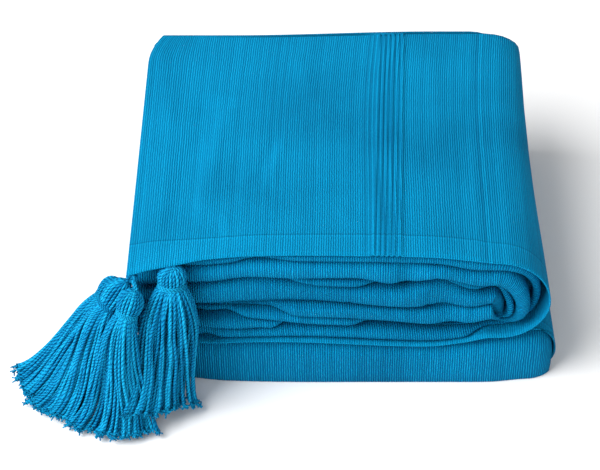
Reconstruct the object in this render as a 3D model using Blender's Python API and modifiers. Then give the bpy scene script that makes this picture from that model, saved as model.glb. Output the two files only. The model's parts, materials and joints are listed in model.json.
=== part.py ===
"""A folded shuka throw: one sheet folded back and forth, with a yarn tassel at each of its four corners.

Sizes are in millimetres and turned to metres where points are placed. X runs along the front, Y runs
back from the front folds and Z is up. The tables count Y from the front folds, and the finished model
is moved forward by half its depth, so that its origin lies in the middle of the ply on the floor.

The sheet's section from front to back is a fold of six plies. That section is swept along a path
that runs right, back to the left, right and left again, one pass lying on the next.
"""

import math
from collections import namedtuple

import bmesh
import bpy
from mathutils import Vector

MM = 0.001

# The cloth and the stack
PLY = 1.6  # thickness of the sheet
REAR = 336.0  # where the rear folds end
ORIGIN = Vector((0.0, REAR / 2, 0.0))
PLY_PITCH = 2.6  # between the middles of two plies that lie on each other
REAR_STEPS = (0.0, 0.26, 0.37, 0.63, 0.74, 1.0)  # the six plies through a pass, at the rear
OUTER_PLY_DEPTHS = (16, 60, 125, 195, 265)  # where a ply of the outer side has its points, front to back
INNER_PLY_DEPTHS = (180, 48)
REAR_FOLD_BACK = 0.62  # the outer ply's last point stands before the rear fold by this share of its height
FOLD_BULGE = 0.87
THREAD_LEAN = 0.052  # the warp runs this much to the right for each millimetre back

# Raised ribs woven into the top ply
RIB_BAND_X = 26.0
RIB_PITCH = 4.6
RIB_COUNT = 6
RIB_HEIGHT = 0.9

# Heights of the lines between the front folds, counted from the hem down to the core, and how far
# the hem and the folds below it stand behind the front.
Upper = namedtuple("Upper", "x hem ab bc cd core hem_y draw")
TOP_PASS = (
    Upper(-183, 144.5, 128.0, 109.0, 103.0, 87.0, -12.0, 9.0),
    Upper(-164, 149.0, 131.0, 112.0, 106.5, 88.0, -9.5, 9.0),
    Upper(-144, 152.0, 134.5, 115.0, 109.5, 89.0, -7.0, 8.5),
    Upper(-118, 153.6, 139.0, 119.0, 113.5, 91.0, -4.0, 4.0),
    Upper(-77, 156.4, 148.2, 127.6, 122.0, 95.0, -1.0, 0.5),
    Upper(-34, 156.8, 148.2, 125.6, 118.0, 95.6, 0.0, 0.0),
    Upper(8, 156.8, 146.4, 124.4, 116.0, 95.0, 0.0, 0.0),
    Upper(56, 155.8, 144.4, 119.5, 113.5, 91.6, 0.0, 0.0),
    Upper(86, 154.2, 143.6, 127.5, 120.6, 90.4, 0.0, 0.0),
    Upper(115, 150.6, 136.4, 117.4, 110.4, 91.0, 0.0, 0.5),
    Upper(135, 146.6, 135.6, 116.0, 109.0, 96.0, 1.0, 1.0),
)
Lower = namedtuple("Lower", "x core dc cb ba foot draw")
SECOND_PASS = (
    Lower(135, 96.0, 79.0, 72.6, 66.8, 58.0, 1.0),
    Lower(115, 91.0, 72.8, 67.2, 61.6, 52.0, 0.5),
    Lower(86, 90.4, 71.8, 66.2, 60.6, 47.6, 0.0),
    Lower(51, 92.0, 75.6, 70.0, 63.8, 48.0, 0.0),
    Lower(8, 95.0, 80.4, 73.6, 66.6, 50.4, 0.0),
    Lower(-34, 95.6, 84.2, 75.4, 66.8, 52.6, 0.0),
    Lower(-77, 95.0, 87.0, 78.4, 66.0, 52.2, 0.5),
    Lower(-118, 91.0, 83.4, 76.6, 65.4, 49.0, 3.0),
    Lower(-150, 88.5, 81.0, 75.0, 63.6, 48.8, 8.0),
)
Base = namedtuple("Base", "x roof draw")
THIRD_PASS = (
    Base(-150, 48.8, 8.0),
    Base(-105, 49.6, 2.0),
    Base(-40, 52.0, 0.0),
    Base(30, 48.8, 0.0),
    Base(95, 47.0, 0.0),
    Base(140, 52.0, 0.3),
    Base(172, 57.0, 4.0),
)
LAST_PASS_X = (172, 58, -58, -176)
MIDDLE = 25.0  # between the third pass and the last

# The ten front levels through a base pass, from the outer ply to the core
BASE_STEPS = (0.032, 0.16, 0.256, 0.336, 0.448, 0.576, 0.672, 0.752, 0.856, 0.952)

# The turns at the ends of the passes: each one's centre, and its radii half-way round
Turn = namedtuple("Turn", "x z angles front rear_outer")
RIGHT_TURN = Turn(
    135.0, 96.0, (24, 48, 72, 96, 122, 150),
    (51.0, 45.0, 40.5, 36.5, 27.5, 25.0, 21.5, 19.0, 7.0, 1.8), 48.0,
)
LEFT_TURN = Turn(
    -150.0, 49.5, (36, 66, 96, 128, 154),
    (1.9, 4.8, 8.0, 10.6, 14.0, 16.8, 20.0, 22.6, 28.0, 31.5), 31.5,
)
BASE_TURN = Turn(
    172.0, MIDDLE, (22, 44, 66, 90, 120, 150),
    (26.5, 23.5, 21.0, 18.6, 15.0, 12.4, 10.0, 7.6, 4.6, 1.8), 26.0,
)

# Where the plies lie at the rear of each pass, from the outer ply to the core
REAR_TOP = (151.0, 98.0)
REAR_SECOND = (52.5, 94.0)
REAR_THIRD = (48.5, 26.6)
REAR_LAST = (PLY / 2, 23.4)

# The tassels. Each hangs by a cord from the underside of the top ply, near its front left corner. Its
# head runs from top to neck, and its locks fan out over the floor from the first end to the last, the
# lower ones shorter by up to that depth. A lock bends at this share of its way out, this high above its
# end, and then lies level for its last few millimetres, on the floor or on the locks under it.
Tassel = namedtuple(
    "Tassel", "name girth anchor bends top neck first_end middle_end last_end depth bend_share bend_height"
)
TASSELS = (
    Tassel(
        "tassel_front_right", 13.0, (-144.0, -1.5), (), (-144.0, -4.5, 148.5), (-144.5, -8.0, 130.5),
        (-180, -27), (-155, -43), (-129, -31), 5, 0.5, 20,
    ),
    Tassel(
        "tassel_front_middle", 11.4, (-173.0, -6.0), (), (-175.5, -22.0, 137.5), (-183.5, -29.5, 115.5),
        (-231, -62), (-196, -75), (-160, -60), 6, 0.45, 20,
    ),
    Tassel(
        "tassel_left_upper", 11.0, (-179.5, -1.0), (), (-187.5, -1.5, 129.5), (-202.0, -12.0, 108.5),
        (-262, -42), (-250, -48), (-238, -54), 6, 0.45, 20,
    ),
    Tassel(
        "tassel_left_lower", 10.6, (-180.0, 9.0), ((-191, 12.5, 134.0),), (-199.5, 14.0, 123.5),
        (-211.0, 10.0, 104.0), (-296, 12), (-288, -13), (-270, -34), 6, 0.5, 30,
    ),
)
LOCKS = 5  # locks across a tassel and through it
LOCK_WIDTH = 2.2
LOCK_LAYER = 3.2  # between the middles of locks that lie on each other
LOCK_STOPS = (0.04, 0.3, 0.62, 1.0)  # places of the rings along a lock
LEVEL_RUN = 4.0
LOCK_DROP = 0.3  # how far a lock runs straight out of the neck, as a share of the neck's height
ROOT_SHRINK = 0.84  # leaves a gap between the locks where they leave the neck
BULGE = 0.4  # how far a lock swings out below the neck, as a share of its way from the neck's middle
BEND_SPREAD = 8.0  # and how far the outer and inner locks stand from the middle one at their bends
FLOOR_GAP = 0.25
CORD_RADIUS = 1.4
CORD_GAP = 0.5  # under the ply that carries the cord
HEAD_RINGS = ((0.12, 0.67), (0.3, 0.9), (0.56, 1.0), (0.82, 0.8), (0.96, 0.38))  # place and share of girth
NECK_SHARE = 0.72

Section = namedtuple("Section", "x z side front rear reach tuck flap rib")
Reach = namedtuple("Reach", "hem a b c d core")


def mix(a, b, t):
    return a + (b - a) * t


def ease(t):
    t = min(max(t, 0.0), 1.0)
    return t * t * (3 - 2 * t)


def table_at(rows, x):
    """A row of a table at any place between its rows, on a smooth curve."""
    signs = 1 if rows[-1].x > rows[0].x else -1
    last = len(rows) - 2
    i = 0
    while i < last and signs * (x - rows[i + 1].x) > 0:
        i += 1
    t = (x - rows[i].x) / (rows[i + 1].x - rows[i].x)
    before, start, end, after = (rows[min(max(i + k, 0), last + 1)] for k in (-1, 0, 1, 2))
    values = []
    for p0, p1, p2, p3 in zip(before, start, end, after):
        bend = 2 * p0 - 5 * p1 + 4 * p2 - p3
        values.append(p1 + 0.5 * t * (p2 - p0 + t * (bend + t * (3 * (p1 - p2) + p3 - p0))))
    return type(start)(*values)._replace(x=x)


def rear_levels(ends):
    return [mix(ends[0], ends[1], step) for step in REAR_STEPS]


def front_levels(hem, ab, bc, cd, core, down):
    """The middles of the plies where they meet the front: two for each of the four folds, and the hems."""
    half = PLY_PITCH / 2
    return [
        hem + 1.0 * down,
        hem - 1.7 * down,
        ab + half * down,
        ab - half * down,
        bc + half * down,
        bc - half * down,
        cd + half * down,
        cd - half * down,
        core + (half + PLY_PITCH) * down,
        core + half * down,
    ]


def drawn_back(first, second):
    """A fold that is too thin to show is pulled in behind its neighbours."""
    return 12.0 * (1 - ease((abs(first - second) - 2.8) / 3.4))


def reach_of(levels, hem, draw, wave):
    """How far forward each fold comes. It wavers a little along the front."""
    return Reach(
        hem,
        1.6 + draw + 0.5 * math.sin(wave) + drawn_back(levels[1], levels[2]),
        0.3 + draw + 0.8 * math.sin(1.7 * wave + 1) + drawn_back(levels[3], levels[4]),
        1.8 + draw + 0.6 * math.sin(1.3 * wave + 2) + drawn_back(levels[5], levels[6]),
        0.6 + draw + 0.9 * math.sin(0.9 * wave + 4) + drawn_back(levels[7], levels[8]),
        12.0 + draw,
    )


def straight(x, z):
    return lambda level: (x, level)


def round_turn(turn, degrees, way):
    sine = way * math.sin(math.radians(degrees))
    cosine = math.cos(math.radians(degrees))
    return lambda level: (turn.x + level * sine, turn.z + level * cosine)


def top_section(x, rib=0.0):
    row = table_at(TOP_PASS, x)
    levels = front_levels(row.hem, row.ab, row.bc, row.cd, row.core, 1)
    tucks = (mix(34, 20, ease((x - 60) / 60)), 26)
    return Section(
        x, 0, straight(x, 0), levels, rear_levels(REAR_TOP),
        reach_of(levels, row.hem_y, row.draw, x / 31), tucks, 0, rib,
    )


def second_section(x):
    row = table_at(SECOND_PASS, x)
    levels = front_levels(row.foot + 2.2, row.ba, row.cb, row.dc, row.core, -1)
    return Section(
        x, 0, straight(x, 0), levels, rear_levels(REAR_SECOND),
        reach_of(levels, -1.0 + row.draw, row.draw, x / 27 + 2), (22, 20), 0, 0,
    )


def base_reach(draw):
    """The folds of the two base passes stand back, behind the flap that hangs over them."""
    return Reach(*(draw + back for back in (9.0, 2.0, 10.0, 10.5, 10.0, 15.0)))


def third_section(x):
    row = table_at(THIRD_PASS, x)
    levels = [mix(row.roof, MIDDLE, step) for step in BASE_STEPS]
    return Section(
        x, 0, straight(x, 0), levels, rear_levels(REAR_THIRD), base_reach(row.draw), (12, 13), 1, 0
    )


def last_section(x):
    levels = [MIDDLE * step for step in BASE_STEPS]
    levels[0] = PLY / 2
    back = 7.0 * ease((x - 90) / 82) + 12.0 * ease((-58 - x) / 118)
    reach = Reach(*(back + own for own in (8.0, 9.0, 9.0, 10.0, 9.0, 15.0)))
    return Section(x, 0, straight(x, 0), levels, rear_levels(REAR_LAST), reach, (12, 13), 0, 0)


def turn_sections(turn, way, start, end, reach_mid, tuck_mid, flap_at):
    """Sections round a turn, from the end of one pass to the start of the next."""
    inner_first = turn.front[0] < turn.front[-1]
    ends = (turn.front[0], turn.rear_outer) if inner_first else (turn.rear_outer, turn.front[-1])
    rear_mid = rear_levels(ends)
    sections = []
    for degrees in turn.angles:
        t = degrees / 180
        other = start if t < 0.5 else end
        own = ease(abs(2 * t - 1))
        mid = 1 - own
        front = [own * abs(z - turn.z) + mid * r for z, r in zip(other.front, turn.front)]
        rear = [own * abs(z - turn.z) + mid * r for z, r in zip(other.rear, rear_mid)]
        reach = Reach(*(own * y + mid * m for y, m in zip(other.reach, reach_mid)))
        tuck = tuple(own * depth + mid * middle for depth, middle in zip(other.tuck, tuck_mid))
        sections.append(
            Section(
                turn.x, turn.z, round_turn(turn, degrees, way), front, rear, reach, tuck,
                flap_at(degrees), 0,
            )
        )
    return sections


def rib_stations():
    """Places across the rib band, a hollow and a crest in turn, with the height of each."""
    stations = []
    for i in range(2 * RIB_COUNT + 1):
        stations.append((RIB_BAND_X + i * RIB_PITCH / 2, RIB_HEIGHT * (i % 2)))
    return stations


def all_sections():
    """The whole path of the sheet, from its first side edge to its last."""
    ribs = rib_stations()
    top_xs = [(row.x, 0.0) for row in TOP_PASS[:-1]]
    top = [top_section(x, height) for x, height in sorted(top_xs + ribs)]
    right_end = top_section(TOP_PASS[-1].x)
    second = [second_section(row.x) for row in SECOND_PASS]
    third = [third_section(row.x) for row in THIRD_PASS]
    last = [last_section(x) for x in LAST_PASS_X]
    top.append(right_end)
    right = turn_sections(
        RIGHT_TURN, 1, right_end, second[0], Reach(3.0, 18.0, 4.0, 9.0, 13.0, 18.0), (16, 16),
        lambda degrees: 0,
    )
    left = turn_sections(
        LEFT_TURN, -1, second[-1], third[0], Reach(16.0, 4.0, 16.0, 15.0, 14.0, 20.0), (4, 14),
        lambda degrees: ease((degrees - 40) / 80),
    )
    base = turn_sections(
        BASE_TURN, 1, third[-1], last[0], Reach(26.0, 17.0, 30.0, 31.0, 32.0, 36.0), (5, 13),
        lambda degrees: 1 - ease((degrees - 72) / 44),
    )
    return top + right + second + left + third + base + last


def profile(section):
    """The sheet's section as (depth, level) points, from the hem on the outer ply to the hem at the core.

    The flap's points are left to flap_points, which moves them.
    """
    l1, a1, a2, b1, b2, c1, c2, d1, d2, l6 = section.front
    k = section.rear
    reach = section.reach
    points = []

    def ply(front_level, rear_level, depths):
        for depth in depths:
            points.append((depth, mix(front_level, rear_level, ease(depth / REAR))))

    def rear_fold(first, second):
        half = abs(first - second) / 2
        middle = (first + second) / 2
        points.append((REAR - 0.5 * half, mix(middle, first, FOLD_BULGE)))
        points.append((REAR, middle))
        points.append((REAR - 0.5 * half, mix(middle, second, FOLD_BULGE)))

    def small_fold(y, first, second):
        half = min(abs(first - second) / 2, 5.0)
        points.append((y + half, first))
        points.append((y, (first + second) / 2))
        points.append((y + half, second))

    def tuck(y, first, second):
        points.append((y, first))
        points.append((y + PLY_PITCH / 2, (first + second) / 2))
        points.append((y, second))

    def full_fold(y, first, second):
        half = min(abs(first - second) / 2, 6.0)
        for back, t in ((half, 0.0), (0.2 * half, 0.2), (0.0, 0.5), (0.2 * half, 0.8), (half, 1.0)):
            points.append((y + back, mix(first, second, t)))

    points.append((reach.hem, l1))
    ply(l1, k[0], OUTER_PLY_DEPTHS)
    points.append((REAR - REAR_FOLD_BACK * abs(k[0] - k[1]), k[0]))
    rear_fold(k[0], k[1])
    ply(a1, k[1], INNER_PLY_DEPTHS)
    small_fold(reach.a, a1, a2)
    tuck(reach.a + section.tuck[0], a2, b1)
    full_fold(reach.b, b1, b2)
    ply(b2, k[2], INNER_PLY_DEPTHS[::-1])
    rear_fold(k[2], k[3])
    ply(c1, k[3], INNER_PLY_DEPTHS)
    small_fold(reach.c, c1, c2)
    tuck(reach.c + section.tuck[1], c2, d1)
    full_fold(reach.d, d1, d2)
    ply(d2, k[4], INNER_PLY_DEPTHS[::-1])
    rear_fold(k[4], k[5])
    ply(l6, k[5], INNER_PLY_DEPTHS)
    points.append((reach.core, l6))
    return points


TOP_PLY_POINTS = len(OUTER_PLY_DEPTHS) + 2  # points of the profile before the first rear fold
FLAP_START = TOP_PLY_POINTS + 3 + len(INNER_PLY_DEPTHS)  # first of the six points that make the flap


def flap_points(section, roof):
    """The flap: the first front fold, let down to the floor over the folds behind it."""
    y = section.reach.a
    x, z = roof
    foot = 1.0
    shape = (
        (y + 1.5, z - 0.5),
        (y - 2.0, mix(z, foot, 0.5)),
        (y - 1.6, foot),
        (y + 1.2, foot),
        (y + 1.4, mix(z, foot, 0.5)),
        (y + 5.0, z - PLY_PITCH - 0.6),
    )
    return [Vector((x, depth, height)) for depth, height in shape]


def section_points(section):
    """The section's points in space, in millimetres."""
    points = []
    for i, (depth, level) in enumerate(profile(section)):
        if 0 < i < TOP_PLY_POINTS:
            level += section.rib
        x, z = section.side(level)
        points.append(Vector((x, depth, z)))
    if section.flap > 0:
        loose = flap_points(section, section.side(section.front[1]))
        for i, point in enumerate(loose, FLAP_START):
            points[i] = points[i].lerp(point, section.flap)
    return points


def lean(point, row):
    """The warp of the top ply leans to the right towards the rear."""
    if row >= TOP_PLY_POINTS or point.z < 100:
        return 0.0
    from_edge = ease((point.x - TOP_PASS[0].x) / 190)
    to_turn = 1 - 0.7 * ease((point.x - 90) / 60)
    return THREAD_LEAN * max(point.y, 0.0) * from_edge * to_turn


def cloth_material(name, color, roughness):
    material = bpy.data.materials.new(name)
    material.use_nodes = True
    shader = material.node_tree.nodes["Principled BSDF"]
    shader.inputs["Base Color"].default_value = (*color, 1)
    shader.inputs["Roughness"].default_value = roughness
    shader.inputs["Metallic"].default_value = 0.0
    return material


def add_object(name, mesh, material, collection):
    mesh.materials.append(material)
    made = bpy.data.objects.new(name, mesh)
    collection.objects.link(made)
    return made


def make_throw(collection, material):
    """The sheet, as a grid whose rows follow the section and whose columns follow the path."""
    sections = all_sections()
    net = [section_points(section) for section in sections]
    rows = len(net[0])
    bm = bmesh.new()
    bmesh.ops.create_grid(bm, x_segments=len(net) - 1, y_segments=rows - 1, size=0.5)
    bm.verts.ensure_lookup_table()
    place = {}
    for vert in bm.verts:
        column = round((vert.co.x + 0.5) * (len(net) - 1))
        row = round((vert.co.y + 0.5) * (rows - 1))
        place[vert] = (column, row)
        point = net[column][row]
        vert.co = (point + Vector((lean(point, row), 0, 0)) - ORIGIN) * MM

    rib_xs = {x for x, height in rib_stations()[1:-1]}
    rib_columns = {i for i, section in enumerate(sections) if section.flap == 0 and section.x in rib_xs}
    hidden = []
    for edge in bm.edges:
        (column, row), (other_column, other_row) = (place[vert] for vert in edge.verts)
        if column == other_column and column in rib_columns and min(row, other_row) >= TOP_PLY_POINTS:
            hidden.append(edge)
    bmesh.ops.dissolve_edges(bm, edges=hidden, use_verts=True, use_face_split=False)
    bmesh.ops.recalc_face_normals(bm, faces=bm.faces)

    mesh = bpy.data.meshes.new("throw")
    bm.to_mesh(mesh)
    bm.free()
    throw = add_object("throw", mesh, material, collection)
    thickness = throw.modifiers.new("ply", "SOLIDIFY")
    thickness.thickness = PLY * MM
    thickness.offset = 0
    thickness.use_rim = True
    return throw


def disk(u, v):
    """A place on the unit square carried to the unit disk."""
    return u * math.sqrt(1 - v * v / 2), v * math.sqrt(1 - u * u / 2)


def hem_underside(x):
    return table_at(TOP_PASS, x).hem + 1.0 - PLY / 2


def next_ring(bm, edges, positions):
    """Extrudes a ring of edges and puts each new point where its own bearing says."""
    made = bmesh.ops.extrude_edge_only(bm, edges=edges)["geom"]
    new_edges = [item for item in made if isinstance(item, bmesh.types.BMEdge)]
    new_verts = {item for item in made if isinstance(item, bmesh.types.BMVert)}
    bearings = {}
    for vert in new_verts:
        for edge in vert.link_edges:
            other = edge.other_vert(vert)
            if other in positions:
                bearings[vert] = positions[other]
    ring = [edge for edge in new_edges if all(vert in new_verts for vert in edge.verts)]
    return ring, bearings


def bezier(p0, p1, p2, p3, t):
    s = 1 - t
    return p0 * s**3 + p1 * (3 * s * s * t) + p2 * (3 * s * t * t) + p3 * t**3


def bezier_heading(p0, p1, p2, p3, t):
    s = 1 - t
    return ((p1 - p0) * (s * s) + (p2 - p1) * (2 * s * t) + (p3 - p2) * (t * t)).normalized()


def lock_end(tassel, u, v):
    """Where the lock rooted at u, v ends. The inner locks lie lowest and end nearer the stack."""
    first, middle, last = (Vector(end) for end in (tassel.first_end, tassel.middle_end, tassel.last_end))
    end = middle.lerp(first if u < 0 else last, abs(u))
    bow = (middle - (first + last) / 2) * (abs(u) * (1 - abs(u)))
    neck = Vector(tassel.neck[:2])
    inward = (neck - end).normalized() * (tassel.depth * (1 - v) / 2)
    flat = end + bow + inward
    layer = (v * LOCKS + LOCKS - 1) / 2
    return Vector((flat.x, flat.y, LOCK_WIDTH / 2 + FLOOR_GAP + layer * LOCK_LAYER))


def draw_lock(bm, face, tassel, frame, u, v):
    """Draws one cell of the root grid out into a lock of four sides, and lays its end level."""
    axis, across, thick = frame
    root = face.calc_center_median().copy()
    neck, end = Vector(tassel.neck), lock_end(tassel, u, v)
    bend = neck.lerp(end, tassel.bend_share)
    bend.z = end.z + tassel.bend_height
    level = Vector((end.x - neck.x, end.y - neck.y, 0)).normalized()
    curve = (root, root + axis * (LOCK_DROP * neck.z) + (root - neck) * BULGE, bend + level * (BEND_SPREAD * v), end)
    rings = [(bezier(*curve, stop), bezier_heading(*curve, stop), ease(stop)) for stop in LOCK_STOPS]
    rings[-1] = (end, rings[-1][1].lerp(level, 0.5).normalized(), 1.0)
    rings.append((end + level * LEVEL_RUN, level, 1.0))
    offsets = [vert.co - root for vert in face.verts]
    for centre, heading, squareness in rings:
        face = bmesh.ops.extrude_discrete_faces(bm, faces=[face])["faces"][0]
        turn = axis.rotation_difference(heading)
        for vert, offset in zip(face.verts, offsets):
            side = math.copysign(LOCK_WIDTH / 2, offset.dot(across))
            lift = math.copysign(LOCK_WIDTH / 2, offset.dot(thick))
            square = across * side + thick * lift
            vert.co = centre + turn @ (offset * ROOT_SHRINK).lerp(square, squareness)


def make_tassel(tassel, collection, material):
    """A bound head with its locks drawn out of its underside, one from each cell of a grid."""
    top, neck = Vector(tassel.top), Vector(tassel.neck)
    axis = (neck - top).normalized()
    outward = Vector((*tassel.middle_end, 0)) - Vector((neck.x, neck.y, 0))
    thick = (outward - axis * outward.dot(axis)).normalized()
    across = axis.cross(thick)
    if across.dot(Vector((*tassel.last_end, 0)) - Vector((*tassel.first_end, 0))) < 0:
        across = -across

    bm = bmesh.new()
    bmesh.ops.create_grid(bm, x_segments=LOCKS, y_segments=LOCKS, size=1.0)
    cells = [(face, face.calc_center_median().copy()) for face in bm.faces]
    bearings = {}
    for vert in bm.verts:
        u, v = disk(vert.co.x, vert.co.y)
        if vert.is_boundary:
            bearings[vert] = (u, v)
        vert.co = neck + (across * u + thick * v) * (NECK_SHARE * tassel.girth)

    ring = [edge for edge in bm.edges if edge.is_boundary]
    anchor = Vector((*tassel.anchor, hem_underside(tassel.anchor[0]) - CORD_GAP))
    shoulder = top - axis * 1.0
    cord = [shoulder, *(Vector(bend) for bend in tassel.bends), anchor - Vector((0, 0, 2.4)), anchor]
    steps = [(neck.lerp(top, t), share * tassel.girth, -axis) for t, share in HEAD_RINGS]
    for before, here, after in zip([top, *cord], cord, [*cord[1:], anchor + Vector((0, 0, 1))]):
        steps.append((here, CORD_RADIUS, (after - before).normalized()))
    steps[-1] = (anchor, CORD_RADIUS, Vector((0, 0, 1)))
    for centre, radius, heading in steps:
        ring, bearings = next_ring(bm, ring, bearings)
        turn = (-axis).rotation_difference(heading)
        for vert, (u, v) in bearings.items():
            vert.co = centre + turn @ ((across * u + thick * v) * radius)
    bmesh.ops.edgeloop_fill(bm, edges=ring)

    for face, cell in cells:
        draw_lock(bm, face, tassel, (axis, across, thick), cell.x, cell.y)
    for vert in bm.verts:
        vert.co = (vert.co - ORIGIN) * MM
    bmesh.ops.recalc_face_normals(bm, faces=bm.faces)

    mesh = bpy.data.meshes.new(tassel.name)
    bm.to_mesh(mesh)
    bm.free()
    return add_object(tassel.name, mesh, material, collection)


def main():
    for old in list(bpy.data.objects):
        bpy.data.objects.remove(old, do_unlink=True)
    collection = bpy.data.collections.new("folded_shuka_throw")
    bpy.context.scene.collection.children.link(collection)
    cloth = cloth_material("woven_cotton", (0.005, 0.27, 0.55), 0.85)
    yarn = cloth_material("cotton_yarn", (0.01, 0.33, 0.6), 0.9)
    make_throw(collection, cloth)
    for tassel in TASSELS:
        make_tassel(tassel, collection, yarn)


main()
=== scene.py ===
import json
import math
import random
from collections import namedtuple

import bmesh
import bpy
import numpy as np
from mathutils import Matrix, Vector, noise

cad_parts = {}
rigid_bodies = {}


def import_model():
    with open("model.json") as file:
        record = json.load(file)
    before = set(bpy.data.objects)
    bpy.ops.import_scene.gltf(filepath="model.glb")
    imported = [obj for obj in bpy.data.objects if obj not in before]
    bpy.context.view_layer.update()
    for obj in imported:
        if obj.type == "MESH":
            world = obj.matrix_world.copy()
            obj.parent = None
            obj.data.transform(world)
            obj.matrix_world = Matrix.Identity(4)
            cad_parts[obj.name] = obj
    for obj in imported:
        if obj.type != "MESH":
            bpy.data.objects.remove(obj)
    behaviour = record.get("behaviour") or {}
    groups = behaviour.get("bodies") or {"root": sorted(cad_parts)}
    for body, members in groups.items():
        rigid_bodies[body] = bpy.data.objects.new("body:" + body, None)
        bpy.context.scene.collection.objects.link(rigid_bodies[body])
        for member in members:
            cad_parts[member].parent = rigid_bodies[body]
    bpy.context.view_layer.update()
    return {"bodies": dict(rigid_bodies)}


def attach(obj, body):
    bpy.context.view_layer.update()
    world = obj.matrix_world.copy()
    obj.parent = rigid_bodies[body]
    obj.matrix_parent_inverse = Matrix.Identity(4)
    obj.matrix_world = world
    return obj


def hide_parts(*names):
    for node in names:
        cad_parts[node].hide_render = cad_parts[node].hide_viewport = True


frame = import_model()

# Folded shuka throw. Lengths are millimetres until a vertex is placed. Y counts from the front folds,
# and the frame's origin lies half the depth behind them.
body = next(iter(frame["bodies"]))
mm = 0.001
frameOrigin = Vector((0.0, 168.0, 0.0))


def mix(a, b, t):
    return a + (b - a) * t


def ease(t):
    t = min(max(t, 0.0), 1.0)
    return t * t * (3 - 2 * t)


def inFrame(point):
    return (Vector(point) - frameOrigin) * mm


def inScene(thing):
    bpy.context.scene.collection.objects.link(thing)
    return thing


def pieceFrom(bm, name, material):
    mesh = bpy.data.meshes.new(name)
    bm.to_mesh(mesh)
    bm.free()
    mesh.shade_smooth()
    mesh.materials.append(material)
    return inScene(bpy.data.objects.new(name, mesh))


# Shader maths


class Wire:
    # a socket that can be used in a sum
    def __init__(self, finish, socket):
        self.finish = finish
        self.socket = socket

    def out(self, name):
        return Wire(self.finish, self.socket.node.outputs[name])

    def math(self, operation, a, b=None):
        values = {0: a} if b is None else {0: a, 1: b}
        return self.finish.node("ShaderNodeMath", {"operation": operation}, values)

    def __add__(self, other):
        return self.math("ADD", self, other)

    def __sub__(self, other):
        return self.math("SUBTRACT", self, other)

    def __rsub__(self, other):
        return self.math("SUBTRACT", other, self)

    def __mul__(self, other):
        return self.math("MULTIPLY", self, other)

    def __truediv__(self, other):
        return self.math("DIVIDE", self, other)

    __radd__ = __add__
    __rmul__ = __mul__

    def sine(self):
        return self.math("SINE", self)

    def floor(self):
        return self.math("FLOOR", self)

    def power(self, exponent):
        return self.math("POWER", self, exponent)

    def below(self, limit):
        return self.math("LESS_THAN", self, limit)

    def apart(self, other):
        return self.math("ABSOLUTE", self - other)


class Finish:
    # a node material under construction
    def __init__(self, name):
        self.material = bpy.data.materials.new(name)
        self.material.use_nodes = True
        self.tree = self.material.node_tree
        self.shader = self.tree.nodes["Principled BSDF"]

    def node(self, kind, settings=None, values=None):
        made = self.tree.nodes.new(kind)
        for key, value in (settings or {}).items():
            setattr(made, key, value)
        for key, value in (values or {}).items():
            self.plug(value, made.inputs[key])
        return Wire(self, made.outputs[0])

    def plug(self, value, socket):
        if isinstance(value, Wire):
            self.tree.links.new(value.socket, socket)
        else:
            socket.default_value = value

    def set(self, **values):
        for name, value in values.items():
            self.plug(value, self.shader.inputs[name.replace("_", " ")])

    def blend(self, factor, a, b):
        made = self.node("ShaderNodeMix", {"data_type": "RGBA"})
        inputs = made.socket.node.inputs
        self.plug(factor, inputs["Factor"])
        for value, socket in ((a, inputs[6]), (b, inputs[7])):
            self.plug(value if isinstance(value, Wire) else (*value, 1), socket)
        return Wire(self, made.socket.node.outputs[2])

    def bump(self, height, distance):
        return self.node("ShaderNodeBump", {}, {"Height": height, "Distance": distance})


# Cotton cloth: fine cords that run front to back, with the weft crossing them

clothLook = {
    "cordPitch": 2.1,
    "weftPitch": 1.7,
    # the cords' colours: painted shade makes the grooves between the cords darker than their crests
    "groove": (0.0, 0.12, 0.34),
    "crest": (0.003, 0.405, 0.70),
    # the darkest colour, for the random darker tone and for painted shade
    "darkToneAndShade": (0.0, 0.02, 0.08),
    "topPly": 345.0,  # from the hem to the first rear fold
    "drift": (40.0, 0.35),  # scale of the noise, and how far it moves the cords
    "sway": (260.0, 0.45),
    "slub": (380.0, 0.7),  # scale of the noise, and its share in the height
    "fibre": (2400.0, 0.22),
    "patchScale": 9.0,
    "patchDark": 0.76,
    "streakDark": 0.84,
    "cordShare": 0.62,
    "weftShare": 0.38,
    "ribStart": 209.0,  # where the rib band begins along the cloth
    "ribGrooveShade": 0.36,
    "ribFlat": (0.55, 0.3),  # how much of the cords goes in the band, and the level put back
    "foldedContrastAndShade": (1.16, 0.12),  # contrast of the cords off the top ply, and how much darker they are painted, as shade
    "topFlatAndPaintedLight": (0.5, 0.36),  # contrast lost on the top ply, and the painted light that raises its level
    "loneRibShadeLines": (3.2, 1.2),  # place and half width of the painted shade lines beside the lone rib
    "loneRibShadeStrength": 0.2,
    # half width and strength of a painted highlight along the lone rib's crest
    "loneHalf": 2.0,
    "loneRibHighlightStrength": 0.1,
    "hemWidth": 26.0,
    "hemLight": 0.05,
    "seamHalf": 0.7,
    "seamDark": 0.26,
    "seamDepth": 1.2,
    # place and half width of a painted highlight beside the hem's seam, then its strength
    "seamHighlight": (2.2, 1.2),
    "seamHighlightStrength": 0.08,
    "bump": 0.0012,
    "roughness": 0.9,
    "specular": 0.04,
}


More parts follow.
